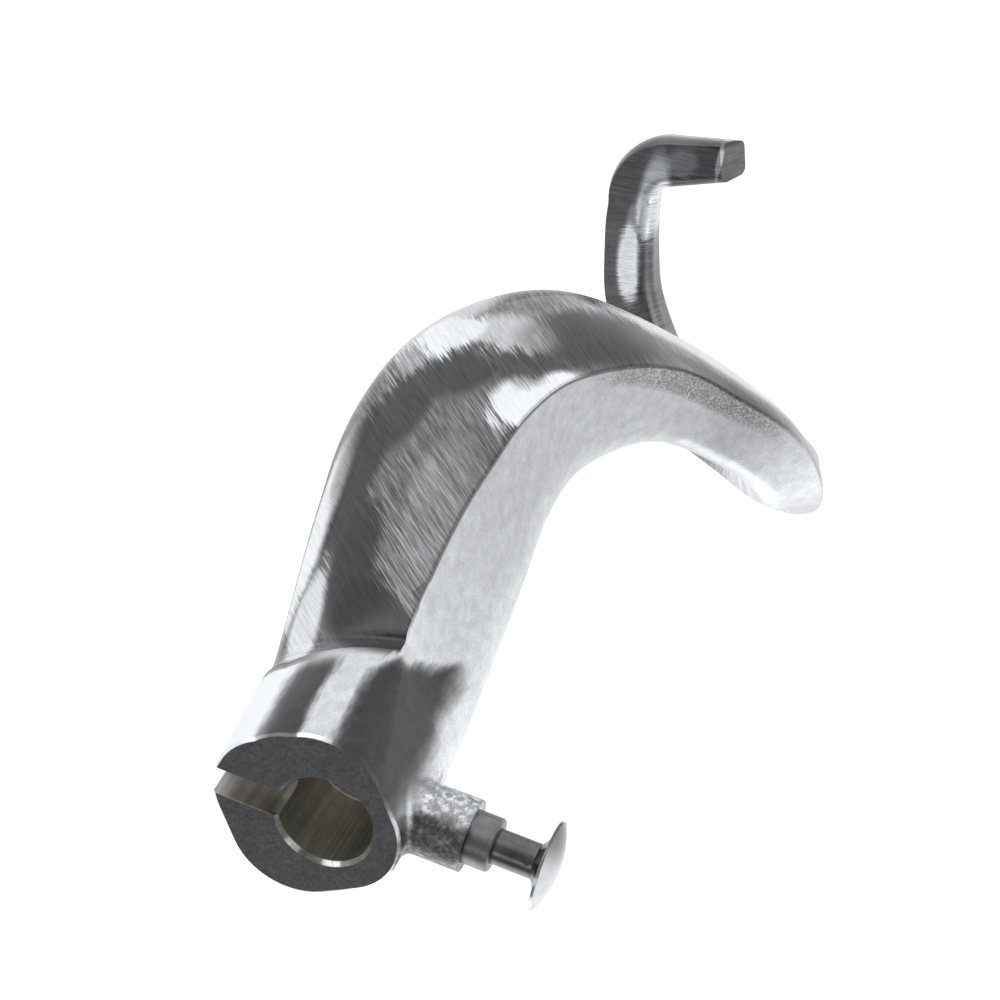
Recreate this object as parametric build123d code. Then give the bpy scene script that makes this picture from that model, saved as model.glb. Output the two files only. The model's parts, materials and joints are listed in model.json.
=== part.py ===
from build123d import *
from collections import namedtuple
import os

# Driving dimensions, in millimetres and degrees.
# The origin is the centre of the bore's floor. +Z runs up the bore to the mixer, +X out along the plunger.

# Shaft bore: the mixer's shaft bears on the deep land, and the wall above it is relieved
bore_radius = 12.7
bore_depth = 45.0
bore_land = 18.0
mouth_relief = 0.25
mouth_chamfer = 1.1

# Drive slot across the hub wall, facing away from the plunger
slot_width = 8.2
slot_depth = 16.0

# Hub: a well-rounded square at the mixer end, off centre to thicken the slotted wall
hub_side = 48.5
hub_corner = 19.0
hub_shift = -5.0
hub_heading = 122.0
hub_length = 35.0
hub_edge = 0.8

# Arm root: the hub's lower end, the shallow shoulder where the arm starts, and how far the arm is let in
root_width = 48.0
root_thick = 46.0
root_corner = 14.0
root_ridge = 2.5
root_shift = -6.2
root_rise = 1.7
root_shoulder = 0.8
root_inset = 2.0

# Spiral arm: drop of the tip below the hub, reach of the elbow from the bore axis, greatest width of the ground
# face and greatest thickness behind it. Crown and rounding are shares of the section at each place.
arm_drop = 269.0
arm_reach = 61.0
arm_width = 55.0
arm_thick = 46.0
arm_crown = 0.07
arm_round = 0.3

# Hooked tip: a bend at the end of the arm, then a straight tapered end, cut off at a slope
bend_radius = 11.3
bend_angle = 84.0
tip_length = 19.5
tip_taper = 5.0
tip_slope = 7.0

# Plunger boss on the hub wall
plunger_drop = 15.5
boss_radius = 9.8
boss_reach = 35.0
boss_fillet = 3.0

# Plunger pin: nose in the bore, collar for the spring, shaft out to the knob
plunger_stroke = 4.5
nose_radius = 4.0
nose_stand = 2.6
nose_round = 1.5
nose_wall = 4.6
collar_radius = 6.3
collar_length = 3.0
shaft_radius = 4.8

# Spring chamber, spring and bushing
chamber_radius = 6.7
spring_wire = 0.9
spring_band = 1.0
spring_turns = 3.5
bushing_radius = 7.3
bushing_stand = 7.0
bushing_chamfer = 0.5

# Pull knob, its stem and the cross pin that holds it
knob_gap = 11.0
knob_radius = 12.0
knob_flare = 2.6
knob_hollow = 0.7
knob_rim = 0.8
knob_dome = 2.8
stem_radius = 2.5
stem_length = 6.0
cross_pin_radius = 0.8
cross_pin_set = 1.6
cross_pin_angle = 62.0

# Clearances: running fit of the plunger, and parts that seat on each other
running = 0.05
seat = 0.02

# Stations down the arm. Across is a share of the reach and down a share of the drop; the ground face looks
# along the compass heading, and leans down where the arm lies flat. Width and thickness are shares as well.
Station = namedtuple("Station", "x y down heading lean width thick")
arm_stations = [
    Station(-0.190, 0.360, 0.182, 118, 0, 0.95, 1.00),
    Station(-0.260, 0.520, 0.306, 108, 0, 1.00, 0.98),
    Station(-0.210, 0.610, 0.409, 98, 0, 0.98, 0.91),
    Station(0.015, 0.635, 0.498, 92, 0, 0.86, 0.78),
    Station(0.360, 0.480, 0.584, 88, -10, 0.62, 0.54),
    Station(0.780, 0.200, 0.646, 70, -20, 0.46, 0.46),
    Station(0.970, -0.115, 0.703, 25, -20, 0.38, 0.39),
    Station(0.880, -0.370, 0.785, -40, -10, 0.33, 0.37),
    Station(0.660, -0.525, 0.855, -90, 0, 0.31, 0.37),
    Station(0.180, -0.505, 0.907, -130, 0, 0.29, 0.35),
    Station(-0.140, -0.215, 0.945, -165, 0, 0.28, 0.33),
    Station(-0.260, 0.080, 0.961, -185, 0, 0.28, 0.32),
    Station(-0.322, 0.359, 0.974, -200, 0, 0.28, 0.32),
]
slices_per_station = 3

# Heights and places that follow from the sizes above
face_z = bore_depth
root_z = face_z - hub_length
plunger_z = face_z - plunger_drop
mouth_radius = bore_radius + mouth_relief
nose_tip_x = mouth_radius - nose_stand
chamber_x = mouth_radius + nose_wall
collar_x = chamber_x + seat
spring_x = collar_x + collar_length + seat
spring_closed = (spring_turns + 1) * spring_wire
bushing_x = spring_x + spring_closed + plunger_stroke
shaft_end_x = boss_reach + bushing_stand + knob_gap
knob_x = shaft_end_x + seat
pin_x = shaft_end_x - cross_pin_set

plunger_axis = Axis((0, 0, plunger_z), (1, 0, 0))


def across_plunger(x):
    """Plane square to the plunger axis at x, looking out along the plunger."""
    return Plane(origin=(x, 0, plunger_z), x_dir=(0, 1, 0), z_dir=(1, 0, 0))


def rod(radius, start, end):
    """Solid cylinder on the plunger axis."""
    return extrude(across_plunger(start) * Circle(radius), end - start)


def turned(edges):
    """Solid of revolution about the plunger axis, from a closed half profile drawn as (x, radius)."""
    half = Plane(origin=(0, 0, plunger_z), x_dir=(1, 0, 0), z_dir=(0, -1, 0))
    return revolve(half * make_face(edges), plunger_axis)


def section(width, thick, corner, ridge=0.0):
    """Section with a crowned ground face on +X, the inner face on +Y, a ridge between them and rounded corners."""
    x, y = thick / 2, width / 2
    crown = arm_crown * (width - corner - ridge)
    edges = [
        SagittaArc((x, corner - y), (x, y - ridge), -crown),
        Line((x - ridge, y), (corner - x, y)),
        CenterArc((corner - x, y - corner), corner, 90, 90),
        Line((-x, y - corner), (-x, corner - y)),
        CenterArc((corner - x, corner - y), corner, 180, 90),
        Line((corner - x, -y), (x - corner, -y)),
        CenterArc((x - corner, corner - y), corner, 270, 90),
    ]
    if ridge:
        edges.insert(1, CenterArc((x - ridge, y - ridge), ridge, 0, 90))
    return make_face(edges)


def across_bore(x, y, z, heading):
    """Plane square to the bore, looking down the hook, with the ground face along the heading."""
    return Plane(origin=(x, y, z), x_dir=Vector(1, 0, 0).rotate(Axis.Z, heading), z_dir=(0, 0, -1))


def station_centre(station):
    """Centre of an arm station in the part's frame."""
    return Vector(station.x * arm_reach, station.y * arm_reach, root_z - station.down * arm_drop)


def along(values, step):
    """Value and slope at a step below the root, on a smooth curve; the first value only leads into it."""
    padded = values + [values[-1] * 2 - values[-2]]
    start = min(int(step), len(values) - 3)
    a, b, c, d = padded[start : start + 4]
    t = step - start
    rise = (c - a) * 0.5
    bend = a - b * 2.5 + c * 2 - d * 0.5
    turn = (b * 3 - c * 3 + d - a) * 0.5
    return b + rise * t + bend * t**2 + turn * t**3, rise + bend * (2 * t) + turn * (3 * t**2)


def arm_spot(step):
    """Plane square to the arm at a step down its stations, with the ground face along its x axis."""
    centre, ahead = along([station_centre(s) for s in stations], step)
    turn, _ = along([Vector(s.heading, s.lean) for s in stations], step)
    out = Vector(1, 0, 0).rotate(Axis.Y, -turn.Y).rotate(Axis.Z, turn.X)
    return Plane(origin=centre, x_dir=out - ahead * (out.dot(ahead) / ahead.dot(ahead)), z_dir=ahead)


def arm_section(step):
    """Section of the arm at a step down its stations."""
    size, _ = along([Vector(s.width * arm_width, s.thick * arm_thick) for s in stations], step)
    return arm_spot(step) * section(size.X, size.Y, arm_round * min(size.X, size.Y))


# Hook casting: hub, boss and arm in one piece
rim_side = hub_side - 2 * hub_edge
rim_corner = hub_corner - hub_edge
rim = across_bore(hub_shift, 0, face_z, hub_heading) * section(rim_side, rim_side, rim_corner, rim_corner)
face_spot = across_bore(hub_shift, 0, face_z - hub_edge, hub_heading)
face = face_spot * section(hub_side, hub_side, hub_corner, hub_corner)
root_spot = across_bore(root_shift, root_rise, root_z, hub_heading)
root = root_spot * section(root_width, root_thick, root_corner, root_ridge)
hub = loft([rim, face, root], ruled=True)

boss = rod(boss_radius, 0, boss_reach)
head = hub + boss
head = fillet(new_edges(hub, boss, combined=head), boss_fillet)

start_width = root_width - 2 * root_shoulder
start_thick = root_thick - 2 * root_shoulder
arm_root = Station(
    root_shift / arm_reach,
    root_rise / arm_reach,
    0,
    hub_heading,
    0,
    start_width / arm_width,
    start_thick / arm_thick,
)
lead_in = arm_stations[0]._replace(down=-arm_stations[0].down)
stations = [lead_in, arm_root] + arm_stations
start = root_spot * section(start_width, start_thick, arm_round * start_thick)
slices = slices_per_station * len(arm_stations)
arm_sections = [arm_section(cut / slices_per_station) for cut in range(1, slices + 1)]
arm = loft([Pos(0, 0, root_inset) * start, start] + arm_sections)

tail = arm_section(len(arm_stations))
tail_spot = arm_spot(len(arm_stations))
bend_axis = Axis(tail_spot.origin - tail_spot.x_dir * bend_radius, -tail_spot.y_dir)
bend = revolve(tail, bend_axis, bend_angle)

tip_start = tail.rotate(bend_axis, bend_angle)
tip_way = tail_spot.z_dir.rotate(bend_axis, bend_angle)
tail_width = arm_stations[-1].width * arm_width
tip_face = Plane(
    origin=tip_start.center() + tip_way * tip_length,
    z_dir=tip_way * tail_width + tail_spot.y_dir * tip_slope,
)
tip = split(extrude(tip_start, tip_length + tip_slope, taper=tip_taper), tip_face, keep=Keep.BOTTOM)
body = head + arm + bend + tip

bore_profile = Polyline(
    (0, 0),
    (bore_radius, 0),
    (bore_radius, bore_land),
    (mouth_radius, bore_land),
    (mouth_radius, face_z - mouth_chamfer),
    (mouth_radius + mouth_chamfer, face_z),
    (0, face_z),
    close=True,
)
bore = revolve(Plane.XZ * make_face(bore_profile), Axis.Z)

slot_floor = face_z - slot_depth + slot_width / 2
slot_shape = Pos(0, slot_floor) * Circle(slot_width / 2)
slot_shape += Pos(0, slot_floor) * Rectangle(slot_width, slot_depth, align=(Align.CENTER, Align.MIN))
slot = extrude(Plane.YZ * slot_shape, hub_shift - hub_side)

plunger_hole = rod(nose_radius + running, 0, chamber_x) + rod(chamber_radius, chamber_x, boss_reach)
hook_casting = body - bore - slot - plunger_hole

# Plunger bushing: shank in the chamber's mouth, flange on the end of the boss
shank_radius = chamber_radius - seat
guide_radius = shaft_radius + running
bushing_end = boss_reach + bushing_stand
plunger_bushing = turned(
    Polyline(
        (bushing_x, guide_radius),
        (bushing_x, shank_radius),
        (boss_reach, shank_radius),
        (boss_reach, bushing_radius),
        (bushing_end - bushing_chamfer, bushing_radius),
        (bushing_end, bushing_radius - bushing_chamfer),
        (bushing_end, guide_radius),
        close=True,
    )
)

# Plunger pin, with a socket for the knob's stem and a cross hole
socket_x = shaft_end_x - stem_length - seat
plunger_pin = turned(
    Polyline(
        (nose_tip_x, 0),
        (nose_tip_x, nose_radius - nose_round),
        (nose_tip_x + nose_round, nose_radius),
        (collar_x, nose_radius),
        (collar_x, collar_radius),
        (collar_x + collar_length, collar_radius),
        (collar_x + collar_length, shaft_radius),
        (shaft_end_x, shaft_radius),
        (shaft_end_x, 0),
        close=True,
    )
)
socket = rod(stem_radius + seat, socket_x, shaft_end_x)
cross_spot = Plane(
    origin=(pin_x, 0, plunger_z), x_dir=(1, 0, 0), z_dir=Vector(0, 1, 0).rotate(Axis.X, cross_pin_angle)
)
plunger_pin -= socket
plunger_pin -= extrude(cross_spot * Circle(cross_pin_radius + seat), 2 * shaft_radius, both=True)

# Pull knob: hollowed back, thin rim and domed front, on a stem
rim_x = knob_x + knob_flare
dome_x = rim_x + knob_rim
pull_knob = turned(
    [
        Line((knob_x - stem_length, 0), (knob_x - stem_length, stem_radius)),
        Line((knob_x - stem_length, stem_radius), (knob_x, stem_radius)),
        Line((knob_x, stem_radius), (knob_x, shaft_radius)),
        SagittaArc((knob_x, shaft_radius), (rim_x, knob_radius), -knob_hollow),
        Line((rim_x, knob_radius), (dome_x, knob_radius)),
        TangentArc((dome_x + knob_dome, 0), (dome_x, knob_radius), tangent=(0, 1)),
        Line((dome_x + knob_dome, 0), (knob_x - stem_length, 0)),
    ]
)
pull_knob -= extrude(cross_spot * Circle(cross_pin_radius + seat), 2 * shaft_radius, both=True)

# Cross pin through the shaft and the stem
knob_pin = extrude(cross_spot * Circle(cross_pin_radius), shaft_radius, both=True)

# Plunger spring round the shaft, between the collar and the bushing
spring_radius = (shaft_radius + chamber_radius) / 2
spring_start = spring_x + spring_wire / 2
spring_height = bushing_x - seat - spring_wire / 2 - spring_start
coil = across_plunger(spring_start) * Helix(spring_height / spring_turns, spring_height, spring_radius)
wire_spot = Plane(origin=coil @ 0, x_dir=(1, 0, 0), z_dir=coil % 0)
plunger_spring = sweep(wire_spot * Rectangle(spring_wire, spring_band), path=coil, is_frenet=True)

os.makedirs("parts", exist_ok=True)
pieces = {
    "hook_casting": hook_casting,
    "plunger_bushing": plunger_bushing,
    "plunger_pin": plunger_pin,
    "plunger_spring": plunger_spring,
    "pull_knob": pull_knob,
    "knob_pin": knob_pin,
}
for name, piece in pieces.items():
    export_step(piece, f"parts/{name}.step")
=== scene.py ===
import json
import math

import bpy
import numpy as np
from mathutils import Matrix, Vector
from mathutils.geometry import interpolate_bezier
from mathutils.kdtree import KDTree


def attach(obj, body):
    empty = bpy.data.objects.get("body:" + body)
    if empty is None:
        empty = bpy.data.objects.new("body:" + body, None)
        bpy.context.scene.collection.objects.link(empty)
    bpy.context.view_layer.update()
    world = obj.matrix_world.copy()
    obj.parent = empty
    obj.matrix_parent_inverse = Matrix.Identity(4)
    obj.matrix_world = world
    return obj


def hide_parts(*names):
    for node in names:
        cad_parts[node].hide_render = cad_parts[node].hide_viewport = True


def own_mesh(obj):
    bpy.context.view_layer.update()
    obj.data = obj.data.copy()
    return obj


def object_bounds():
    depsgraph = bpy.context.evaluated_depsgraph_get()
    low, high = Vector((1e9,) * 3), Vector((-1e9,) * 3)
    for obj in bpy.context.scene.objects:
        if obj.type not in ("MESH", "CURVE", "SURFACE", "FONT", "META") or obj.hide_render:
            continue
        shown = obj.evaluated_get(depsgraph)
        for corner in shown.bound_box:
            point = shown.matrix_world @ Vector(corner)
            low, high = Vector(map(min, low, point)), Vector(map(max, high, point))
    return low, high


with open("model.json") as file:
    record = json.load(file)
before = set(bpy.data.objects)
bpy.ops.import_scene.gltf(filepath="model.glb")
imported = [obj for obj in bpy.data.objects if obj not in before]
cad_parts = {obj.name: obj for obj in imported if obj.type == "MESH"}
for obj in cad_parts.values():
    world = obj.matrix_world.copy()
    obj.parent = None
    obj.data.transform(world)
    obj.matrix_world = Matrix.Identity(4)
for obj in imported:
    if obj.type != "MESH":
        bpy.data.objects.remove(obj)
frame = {"nodes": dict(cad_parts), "record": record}
cad_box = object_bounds()

# Hook casting: hub, plunger boss and spiral arm in one aluminium casting. It is tumbled all over, then
# ground bright along the outer face of the arm and round the tail, and it hangs from the mixer's shaft.
# The solid's own surface is kept, and each point learns where it lies along the arm, for the wheel's marks
# and for the light and shade painted along it.
MM = 0.001
mounts = {mount["name"]: mount for mount in frame["record"]["mounts"]}
face_height = mounts["hub_face"]["pos_m"][2]
bore_reach = 15 * MM
slot_half = 4.2 * MM
slot_depth = 16.1 * MM
slack = 0.1 * MM

# Stops along the arm: its middle in millimetres, then the compass heading and lean of the ground face
arm_stops = [
    (-12, 22, 59, 122, 0),
    (-6, 2, 10, 122, 0),
    (-12, 22, -39, 118, 0),
    (-16, 32, -72, 108, 0),
    (-13, 37, -100, 98, 0),
    (1, 39, -124, 92, 0),
    (22, 29, -147, 88, -10),
    (48, 12, -164, 70, -20),
    (59, -7, -179, 25, -20),
    (54, -23, -201, -40, -10),
    (40, -32, -220, -90, 0),
    (11, -31, -234, -130, 0),
    (-9, -13, -244, -165, 0),
    (-16, 5, -249, -185, 0),
    (-20, 22, -252, -200, 0),
    (-22, 60, -258, -215, 0),
]
samples_between = 160


def heading(compass, lean):
    """Direction that the ground face looks, from its compass heading and its lean, in degrees."""
    turn = math.radians(compass)
    tilt = math.radians(lean)
    return Vector((math.cos(turn) * math.cos(tilt), math.sin(turn) * math.cos(tilt), math.sin(tilt)))


def smooth(points):
    """Smooth line through all the points but the first and last, which only lead in and out."""
    handles_in_chord = 6
    line = []
    for before, start, end, after in zip(points, points[1:], points[2:], points[3:]):
        leave = start + (end - before) / handles_in_chord
        arrive = end - (after - start) / handles_in_chord
        line += interpolate_bezier(start, leave, arrive, end, samples_between)[:-1]
    return line


middle = smooth([Vector(stop[:3]) * MM for stop in arm_stops])
outward = smooth([heading(*stop[3:]) for stop in arm_stops])
steps = [end - start for start, end in zip(middle, middle[1:])]
ahead = [step.normalized() for step in steps]
lengths = np.cumsum([0.0] + [step.length for step in steps])
nearest = KDTree(len(ahead))
for index, point in enumerate(middle[:-1]):
    nearest.insert(point, index)
nearest.balance()


def merged_copy(name, node):
    """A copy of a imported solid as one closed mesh, whose sharp edges stay sharp."""
    weld = 0.001 * MM
    copy = bpy.data.objects.new(name, frame["nodes"][node].data.copy())
    bpy.context.collection.objects.link(copy)
    bpy.ops.object.select_all(action="DESELECT")
    bpy.context.view_layer.objects.active = copy
    bpy.ops.object.mode_set(mode="EDIT")
    bpy.ops.mesh.select_all(action="SELECT")
    bpy.ops.mesh.remove_doubles(threshold=weld, use_sharp_edge_from_normals=True)
    bpy.ops.object.mode_set(mode="OBJECT")
    copy.data.materials.clear()
    return copy


hook = merged_copy("hook_body", "hook_casting")
places = []
ways = []
for vertex in hook.data.vertices:
    point, index, _ = nearest.find(vertex.co)
    offset = vertex.co - point
    way = (outward[index] - ahead[index] * outward[index].dot(ahead[index])).normalized()
    along = lengths[index] + offset.dot(ahead[index])
    places.append((along, offset.dot(ahead[index].cross(way)), offset.dot(way)))
    ways.append(way)

# The ridge is the arm's outermost corner along each stretch, and each point keeps its distance from it
ridge_pitch = 6 * MM
no_corner = (-math.inf,)
corners = {}
for along, across, out in places:
    stretch = round(along / ridge_pitch)
    corners[stretch] = max(corners.get(stretch, no_corner), (across + out, along, across, out))
_, corner_along, corner_across, corner_out = np.transpose([corners[stretch] for stretch in sorted(corners)])
along, across, out = np.transpose(places)
across_gap = across - np.interp(along, corner_along, corner_across)
out_gap = out - np.interp(along, corner_along, corner_out)
measures = [
    ("arm_place", "FLOAT_VECTOR", "vector", places),
    ("ground_way", "FLOAT_VECTOR", "vector", ways),
    ("ridge_gap", "FLOAT", "value", np.hypot(across_gap, out_gap)),
]
for name, kind, field, values in measures:
    hook.data.attributes.new(name, kind, "POINT").data.foreach_set(field, np.ravel(values))


class Wire:
    """A socket in a material's tree. Arithmetic on wires adds Math nodes; node() adds any other node."""

    def __init__(self, tree, socket=None):
        self.tree = tree
        self.socket = socket

    def node(self, kind, settings, sockets, out=0):
        """Adds a node of this type with its settings, then the values or links of its sockets."""
        made = self.tree.nodes.new("ShaderNode" + kind)
        for name, value in settings.items():
            setattr(made, name, value)
        for name, value in sockets.items():
            if isinstance(value, Wire):
                self.tree.links.new(value.socket, made.inputs[name])
            else:
                made.inputs[name].default_value = value
        return Wire(self.tree, made.outputs[out])

    def math(self, operation, first, second):
        return self.node("Math", {"operation": operation}, {0: first, 1: second})

    def __add__(self, other):
        return self.math("ADD", self, other)

    def __sub__(self, other):
        return self.math("SUBTRACT", self, other)

    def __rsub__(self, other):
        return self.math("SUBTRACT", other, self)

    def __mul__(self, other):
        return self.math("MULTIPLY", self, other)

    __radd__ = __add__
    __rmul__ = __mul__

    def step(self, low, high):
        """0 up to low and 1 from high on, smooth between them; a low above the high runs the other way."""
        ends = {"Value": self, "From Min": low, "From Max": high}
        return self.node("MapRange", {"interpolation_type": "SMOOTHSTEP"}, ends)

    def between(self, start, full, fading, end):
        """1 from full to fading, and 0 before the start and past the end."""
        return self.step(start, full) * self.step(end, fading)

    def swing(self):
        """A value from 0 to 1, moved to swing about 0."""
        return self - 0.5

    def mix(self, first, second):
        """The first value where this wire is 0, the second where it is 1."""
        return first + (second - first) * self

    def blend(self, first, second):
        """The first colour where this wire is 0, the second where it is 1."""
        return self.node("Mix", {"data_type": "RGBA"}, {0: self, 6: first, 7: second}, out=2)

    def stretch(self, x, y, z):
        """This vector with its three parts multiplied."""
        return self.node("VectorMath", {"operation": "MULTIPLY"}, {0: self, 1: (x, y, z)})

    def dot(self, other):
        """How far this vector runs along another."""
        return self.node("VectorMath", {"operation": "DOT_PRODUCT"}, {0: self, 1: other}, out="Value")

    def part(self, axis):
        """One part of this vector, by its letter."""
        return self.node("SeparateXYZ", {}, {0: self}, out=axis)

    def millimetres(self):
        """The three parts of this vector, in millimetres."""
        return [self.part(axis) * (1 / MM) for axis in "XYZ"]

    def noise(self, scale, detail=2.0, roughness=0.5):
        """Soft noise from 0 to 1 over this vector."""
        sockets = {"Vector": self, "Scale": scale, "Detail": detail, "Roughness": roughness}
        return self.node("TexNoise", {}, sockets)


def metal(name):
    """A new metal, with its surface node and the object's own coordinates."""
    material = bpy.data.materials.new(name)
    material.use_nodes = True
    surface = material.node_tree.nodes["Principled BSDF"]
    surface.inputs["Metallic"].default_value = 1.0
    place = Wire(material.node_tree).node("TexCoord", {}, {}, out="Object")
    return material, surface, place


def toned(tone, changes):
    """A tone with what each mask changes in it."""
    for mask, change in changes:
        tone = mask * change + tone
    return tone


def shine(tone, warmth=0.0):
    """Colour of a metal whose tone runs from 0, darkest, to 1, brightest, evenly to the eye; the tone holds
    painted light and shade as well as the metal's own.
    """
    dullest = 0.07
    blue_loss = 1.7
    black = (0.0, 0.0, 0.0, 1.0)
    brightest = (0.92 + warmth, 0.945, 0.98 - warmth * blue_loss, 1.0)
    level = tone.math("POWER", 1 / dullest, tone) * dullest
    return level.blend(black, brightest)


def finish(surface, colour, rough, height, relief, edge=0.4 * MM):
    """Gives a metal its colour and roughness, and a relief in metres over softly broken edges."""
    broken = colour.node("Bevel", {"samples": 4}, {"Radius": edge})
    sockets = {"Strength": 1.0, "Distance": relief, "Height": height, "Normal": broken}
    bump = colour.node("Bump", {}, sockets)
    for name, wire in (("Base Color", colour), ("Roughness", rough), ("Normal", bump)):
        colour.tree.links.new(wire.socket, surface.inputs[name])


def patch(first, second, place, reach, lean=0.0):
    """1 about a place on a surface, fading to 0 past its reach, by two measures; it may lean."""
    core = 0.4
    border = 1.3
    from_second = second - place[1]
    from_first = (first + from_second * lean - place[0]) * (1 / reach[0])
    from_second = from_second * (1 / reach[1])
    return (from_first * from_first + from_second * from_second).step(border, core)


def strongest(first, second, strokes):
    """The strongest of these strokes at each point, from the place, reach, lean and strength of each."""
    most = 0.0
    for stroke_place, reach, lean, strength in strokes:
        mark = patch(first, second, stroke_place, reach, lean) * strength
        most = mark.math("MAXIMUM", mark, most)
    return most


# Where each point of the casting lies, along the arm and in the hub's frame, in millimetres and degrees
cast, surface, place = metal("ground_casting")
line = place.node("Attribute", {"attribute_name": "arm_place"}, {}, out="Vector")
way = place.node("Attribute", {"attribute_name": "ground_way"}, {}, out="Vector")
gap = place.node("Attribute", {"attribute_name": "ridge_gap"}, {}, out="Fac") * (1 / MM)
normal = place.node("NewGeometry", {}, {}, out="Normal")
facing = normal.dot(way)
run, across, out = line.millimetres()
x, y, z = place.millimetres()
hub_x = -5
hub_y = 1
hub_top = face_height / MM
compass = y.math("ARCTAN2", y - hub_y, x - hub_x) * math.degrees(1)

# Scratches of the wheel: straight over the shank, square to the arm at its root and past its top
hair_thinness = 0.06
straight = (x + y - z) * math.sqrt(1 / 3)
slanted = run.between(6, 18, 140, 165)


def hairs(length):
    """Coordinates that draw a noise out into hairs square to this length."""
    return length.node("CombineXYZ", {}, {0: length, 1: across * hair_thinness, 2: out * hair_thinness})


square_hair = hairs(run)
straight_hair = hairs(straight)
scratch = slanted.mix(square_hair.noise(2.2, 2.0, 0.6), straight_hair.noise(2.0, 2.0, 0.65)).step(0.3, 0.7)
sweep = slanted.mix(square_hair.noise(0.5, 3.0, 0.6), straight_hair.noise(0.4, 3.0, 0.6)).step(0.3, 0.7)
ragged = run + scratch.swing() * 6 + sweep.swing() * 4

# Ground face: painted dark reflections in strokes, by place and reach along and across the face, lean and
# strength
painted_dark_strokes = [
    ((17, 14), (17, 20), 0.8, 0.40),
    ((40, 0), (18, 9), 0.8, 0.36),
    ((55, -9), (16, 7), 0.6, 0.32),
    ((70, -12), (18, 8), 0.3, 0.34),
    ((86, -7), (16, 9), 0.0, 0.30),
    ((100, 2), (10, 10), 0.0, 0.30),
    ((108, 15), (9, 9), 0.3, 0.26),
    ((122, 18), (12, 6), 0.0, 0.26),
    ((140, 11), (24, 14), 0.2, 0.30),
    ((190, 14), (28, 4), 0.0, 0.25),
]
# Painted highlights on the ground face, in the same columns
painted_highlight_strokes = [
    ((20, -10), (22, 6), 0.3, 0.55),
    ((50, -19), (32, 6), 0.0, 0.60),
    ((58, 17), (18, 10), 0.8, 0.12),
    ((94, 23), (12, 9), 0.4, 0.62),
    ((105, 27), (22, 6), 0.0, 0.62),
    ((113, -12), (10, 11), 0.0, 0.60),
    ((105, -15), (10, 6), 0.0, 0.30),
    ((118, -20), (16, 8), 0.0, 0.46),
    ((122, 2), (11, 14), -0.1, 0.44),
    ((188, -4), (48, 12), 0.0, 0.52),
]
ground_level = 0.38
most_contrast = 0.36
least_contrast = 0.10
calming = 2.5
# Painted light and shade on the ground face: highlight strokes lighten it, dark strokes darken it, over the
# wheel's scratches
change = strongest(ragged, across, painted_highlight_strokes) - strongest(ragged, across, painted_dark_strokes)
contrast = change.math("MAXIMUM", most_contrast - change * change * calming, least_contrast)
ground_tone = ground_level + change + (scratch.swing() + sweep.swing() * 0.4) * contrast

# Tumbled skin with mottle and grain, darker in bands down the hub, the longest drawn out to a point;
# painted shade in a speckled band under the ridge; painted highlights on the hub's rim, the upper hub, the
# inner side and the root; lighter beside the slot
mottle = place.noise(260, 4.0, 0.6)
grain = place.noise(1700, 3.0, 0.6)
point_start = 18
below = z.math("MAXIMUM", point_start - z, 0)
wavy = compass + place.stretch(1, 1, 0.25).noise(180, 3.0, 0.6).swing() * 18
long_band = (wavy - below * 0.6).step(10, 36) * (wavy + below * 1.4).step(88, 78)
short_band = wavy.between(102, 110, 124, 142) * z.step(11, 19)
rear_band = wavy.between(-100, -80, -60, -40) * z.step(0, 14)
dark_bands = (long_band + short_band + rear_band) * z.step(-14, -4)
speckle = place.noise(1500, 3.0, 0.6).step(0.40, 0.66)
# Painted shade: a darker band under the ridge, broken by bright speckles
speckled_ridge_shade = patch(run, gap, (172, 3), (40, 5)) * (1 - speckle)
# Painted highlights: the hub's rim, the upper hub, the arm's inner side and its root are made lighter
hub_rim_highlight = z.step(hub_top - 1.0, hub_top - 0.5)
upper_hub_highlight = z.step(-8, 4)
inner_side_highlight = out.step(0, -16)
root_highlight = run.step(70, 20)
slot_side = compass.step(128, 140) * z.step(8, 14)
skin_tone = toned(0.78, [
    (mottle.swing(), 0.25),
    (grain.swing(), 0.20),
    (dark_bands, -0.87),
    (speckled_ridge_shade, -0.30),
    (hub_rim_highlight, 0.30),
    (upper_hub_highlight, 0.04),
    (inner_side_highlight, 0.12),
    (root_highlight, 0.06),
    (slot_side, 0.15),
])


def shading_side(y, z):
    """How far a point lies towards one side of the plunger, in millimetres; the boss is painted lighter and
    the knob painted darker towards it.
    """
    return y * 0.83 - z * 0.55


# Boss: the sand's rough grain, with painted light on one side
boss = x.step(18, 22) * z.step(12, 16)
pits = place.noise(420, 5.0, 0.7)
# Painted light: the boss is made lighter towards one side
boss_lit_side = shading_side(y, z).step(-16, -11)
boss_tone = toned(0.16, [(boss_lit_side, 0.45), (pits.step(0.38, 0.66), 0.44)])

# Tail, ground all round: painted shade over its outside, further along it and on the tip, and painted
# highlights along its middle, on the inner side of the bend and underneath
# Painted highlights on the tail: place along and across it, reach and strength
tail_highlights = [
    ((373, -0.5), (14, 4), 0.75),
    ((387, -3), (10, 3.5), 0.35),
    ((397, -7), (16, 5), 0.60),
    ((410, -14), (5, 5), 0.30),
    ((412, -25), (6, 1), 0.50),
]
tail = run.step(230, 270)
tail_run = run + scratch * 3
tail_highlight_marks = []
for stroke_place, reach, strength in tail_highlights:
    tail_highlight_marks.append((patch(tail_run, out, stroke_place, reach), strength))
# Painted light and shade: a lighter underside, a darker outer side of the bend and a darker tip
underside_highlight = normal.part("Z").step(-0.1, -0.5)
outer_side_shade = facing.step(0.2, 0.6) * run.step(374, 390)
tip_shade = run.step(413.5, 415.5) * (1 - outer_side_shade)
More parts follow.
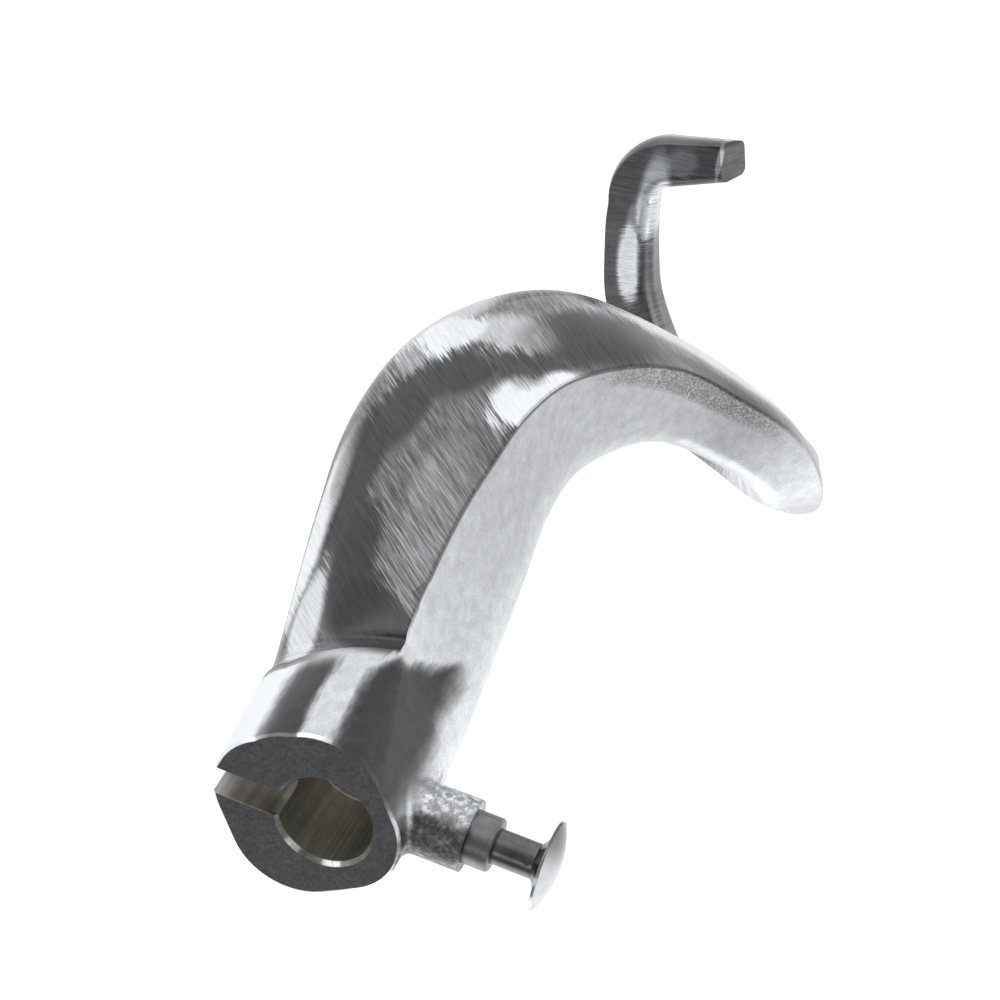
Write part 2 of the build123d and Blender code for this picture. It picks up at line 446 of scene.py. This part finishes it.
# Painted shade: the tail's tone falls from 320 to 362 mm along the arm
tail_level = run.step(320, 362).mix(0.60, 0.16)
tail_tone = toned(tail_level, tail_highlight_marks + [
    (scratch, 0.16),
    (sweep, 0.10),
    (underside_highlight, 0.60),
    (outer_side_shade, -0.45),
    (tip_shade, -0.30),
])

# Whole casting: ground metal over the skin, with painted shade along the ridge and far edge, a painted
# shadow at the shoulder and a painted highlight on the elbow
ground = facing.step(0.60, 0.80) * run.step(-3, 5)
worn = tail + ground - tail * ground
# Painted shade along the ridge, far edge and shoulder, and a painted highlight on the elbow
ridge_shade = gap.step(1.2, 0.4) * run.between(10, 30, 200, 225)
far_edge_shade = facing.between(0.2, 0.4, 0.65, 0.80) * across.step(-8, -14) * run.between(6, 16, 75, 95)
shoulder_shadow = patch(run, facing, (0, 1), (3, 0.6)) * z.step(-20, 0) * across.step(4, -8)
elbow_highlight = run.between(200, 235, 290, 330)
metal_tone = worn.mix(skin_tone, tail.mix(ground_tone, tail_tone))
tone = toned(metal_tone, [
    (ridge_shade, -0.45),
    (ridge_shade * worn, 0.27),
    (far_edge_shade, -0.60),
    (shoulder_shadow, -0.40),
    (elbow_highlight, 0.18),
])
rough = worn.mix(0.26 + grain * 0.12, 0.18 + scratch * 0.10)
height = worn.mix(grain * 0.5 + mottle * 0.5, scratch * 0.7) + boss * pits * 6
finish(surface, shine(boss.mix(tone, boss_tone)), rough, height, relief=0.03 * MM)

# Top face of the hub: blasted grain, its dark colour partly painted shade
top, surface, place = metal("blasted_face")
mottle = place.noise(220, 4.0, 0.6)
grain = place.noise(1300, 4.0, 0.7)
blast = grain.step(0.35, 0.65)
# The face's low tone is partly painted shade
tone = toned(0.02, [(mottle, 0.22), (blast, 0.16)])
finish(surface, shine(tone), 0.38 + grain * 0.2, blast, relief=0.04 * MM)

# Bore and slot, scored along their length by the shaft; painted shade on the bore's mouth but for two
# painted glints, and painted shade on the slot's wall
bore, surface, place = metal("worn_bore")
score = place.stretch(900, 900, 30).noise(1.0, 3.0, 0.6)
mottle = place.noise(120, 3.0, 0.6)
x, y, z = place.millimetres()
compass = y.math("ARCTAN2", y, x) * math.degrees(1)
slot_wall = x.step(-13, -15)
# Painted glints on the mouth, which is otherwise painted darker
painted_glints = compass.between(-134, -128, -114, -108) + compass.between(-86, -80, -64, -58)
mouth_shade = z.step(hub_top - 1.3, hub_top - 1.1) * (1 - painted_glints) * (1 - slot_wall)
# Painted shade on the mouth and on the slot's wall
tone = toned(0.60, [(score, 0.40), (mottle, 0.20), (slot_wall, -0.12), (mouth_shade, -0.50)])
finish(surface, shine(tone, warmth=0.05), 0.28 + score * 0.15, score, relief=0.03 * MM)

finishes = [cast, top, bore]
for material in finishes:
    hook.data.materials.append(material)
for polygon in hook.data.polygons:
    centre = polygon.center
    in_bore = math.hypot(centre.x, centre.y) < bore_reach and centre.z > -slack
    in_slot = centre.x < 0 and abs(centre.y) < slot_half and centre.z > face_height - slot_depth
    looks_outward = abs(polygon.normal.x) >= 0.5
    if centre.z > face_height - slack:
        polygon.material_index = finishes.index(top)
    elif in_bore or (in_slot and not looks_outward):
        polygon.material_index = finishes.index(bore)
    else:
        polygon.material_index = finishes.index(cast)
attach(hook, "hook")
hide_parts("hook_casting")

# Plunger bushing: a turned steel sleeve pressed into the end of the boss, with fine rings left by the
# lathe. It guides the pin and keeps the spring in.
bushing_steel, surface, place = metal("turned_steel")
rings = place.stretch(1400, 4, 4).noise(1.0, 2.0, 0.5)
stain = place.noise(300, 3.0, 0.6)
finish(surface, shine(0.26 + stain * 0.35), 0.26 + rings * 0.14, rings, relief=0.015 * MM)
frame["nodes"]["plunger_bushing"].material_slots[0].material = bushing_steel

# Plunger pin and the small cross pin through it: hardened steel, ground dark and smooth. The pin slides
# in the bushing, and the cross pin is driven through the knob's stem.
pin_steel, surface, place = metal("dark_ground_steel")
rings = place.stretch(2200, 6, 6).noise(1.0, 2.0, 0.5)
stain = place.noise(240, 3.0, 0.6)
colour = shine(0.10 + stain * 0.4, warmth=0.04)
finish(surface, colour, 0.12 + rings * 0.10, rings, relief=0.008 * MM, edge=0.2 * MM)
for node in ("plunger_pin", "knob_pin"):
    frame["nodes"][node].material_slots[0].material = pin_steel

# Plunger spring: coiled spring wire between the pin's collar and the bushing, hidden inside the boss.
# The collar squeezes it against the bushing as the knob is pulled.
spring_steel, surface, place = metal("spring_wire")
drawn = place.noise(900, 3.0, 0.6)
colour = shine(0.35 + drawn * 0.25)
finish(surface, colour, 0.30 + drawn * 0.12, drawn, relief=0.01 * MM, edge=0.1 * MM)
spring = merged_copy("coil_spring", "plunger_spring")
spring.data.materials.append(spring_steel)
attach(spring, "hook")
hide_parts("plunger_spring")
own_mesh(spring)

# Pull knob: a turned steel button with a bright plated skin, held on the pin by its stem and the cross
# pin. Its dished back gives the fingers their grip.
plate, surface, place = metal("bright_plate")
wipe = place.noise(180, 3.0, 0.6)
hair = place.stretch(60, 2600, 2600).noise(1.0, 2.0, 0.5)
# Painted shade: the knob's back and one side are made darker
back = place.node("NewGeometry", {}, {}, out="Normal").part("X").step(0.1, -0.3)
_, y, z = place.millimetres()
knob_shaded_side = shading_side(y, z).step(-18, -6)
tone = toned(0.80, [(wipe, 0.20), (knob_shaded_side, -0.50), (back, -0.55)])
finish(surface, shine(tone), 0.07 + wipe * 0.08 + hair * 0.05, hair, relief=0.004 * MM, edge=0.3 * MM)
frame["nodes"]["pull_knob"].material_slots[0].material = plate

# Studio: a plain pale floor below the hanging hook, soft lamps, and a white surround under a dim ceiling.
# Metal mirrors the surround as the camera sees it, apart from that ceiling and the soft box in it.
floor_gap = 30 * MM
floor_size = 8.0
floor_height = cad_box[0].z - floor_gap
floor_glow = 0.55
seen_glow = 0.13
pale_grey = (0.8, 0.8, 0.8, 1.0)
white = (1.0, 1.0, 1.0, 1.0)
bpy.ops.object.select_all(action="DESELECT")
bpy.ops.mesh.primitive_plane_add(size=floor_size, location=(0, 0, floor_height))
floor = bpy.context.active_object
floor.name = "floor"
pale = bpy.data.materials.new("pale_floor")
pale.use_nodes = True
tree = pale.node_tree
tree.nodes.remove(tree.nodes["Principled BSDF"])


def ray_kinds(tree):
    """Wires that are 1 for rays from the camera, for mirrored rays and for rays through glass."""
    kinds = ("Camera", "Glossy", "Transmission")
    return [Wire(tree).node("LightPath", {}, {}, out=f"Is {kind} Ray") for kind in kinds]


camera_ray, mirrored_ray, glass_ray = ray_kinds(tree)
seen = camera_ray.math("MINIMUM", camera_ray + mirrored_ray + glass_ray, 1.0)
matte = seen.node("BsdfDiffuse", {}, {"Color": pale_grey})
strength = seen * floor_glow + camera_ray * seen_glow
glow = seen.node("Emission", {}, {"Color": white, "Strength": strength})
both = seen.node("AddShader", {}, {0: matte, 1: glow})
tree.links.new(both.socket, tree.nodes["Material Output"].inputs["Surface"])
floor.data.materials.append(pale)

surround_light = 0.4
ceiling_light = 0.3
softbox_way = (-0.15, -0.12, 0.98)
world = bpy.data.worlds.new("white_surround")
bpy.context.scene.world = world
world.use_nodes = True
tree = world.node_tree
camera_ray, mirrored_ray, glass_ray = ray_kinds(tree)
look = camera_ray.node("TexCoord", {}, {}, out="Generated")
softbox = look.dot(softbox_way).step(0.97, 0.99)
ceiling = look.part("Z").step(0.15, 0.75) * (1 - softbox)
mirrored = 1 - ceiling * (1 - ceiling_light)
seen = camera_ray.math("MINIMUM", camera_ray + glass_ray, 1.0)
strength = seen.mix(mirrored_ray.mix(surround_light, mirrored), 1.0)
background = tree.nodes["Background"]
background.inputs["Color"].default_value = white
tree.links.new(strength.socket, background.inputs["Strength"])

object_middle = (cad_box[0] + cad_box[1]) / 2
lamps = [
    ("key", (-0.9, 0.9, 0.7), 1.5, 5.0),
    ("fill", (1.0, 0.5, 0.2), 1.2, 2.5),
    ("back", (0.1, -1.0, 0.25), 1.2, 2.5),
]
for name, from_object, size, power in lamps:
    bpy.ops.object.light_add(type="AREA", location=object_middle + Vector(from_object))
    lamp = bpy.context.active_object
    lamp.name = name
    lamp.visible_camera = False
    lamp.data.shape = "DISK"
    lamp.data.size = size
    lamp.data.energy = power
    lamp.rotation_euler = (-Vector(from_object)).to_track_quat("-Z", "Y").to_euler()

# Camera: above the hub, looking down the bore, and rolled as in the photograph.
image_pixels = 1000
focal_pixels = 4000
sensor_width = 36.0
camera_place = Vector((190.6, 676.0, 785.1)) * MM
camera_right = Vector((0.9225, 0.1801, -0.3414)).normalized()
camera_back = Vector((0.1746, 0.5942, 0.7851)).normalized()
camera_up = camera_back.cross(camera_right)
camera = bpy.data.objects.new("camera", bpy.data.cameras.new("camera"))
bpy.context.collection.objects.link(camera)
camera.data.sensor_width = sensor_width
camera.data.lens = sensor_width * focal_pixels / image_pixels
turn = Matrix((camera_right, camera_up, camera_back)).transposed()
camera.matrix_world = Matrix.Translation(camera_place) @ turn.to_4x4()
bpy.context.scene.camera = camera
bpy.context.scene.view_settings.view_transform = "Standard"
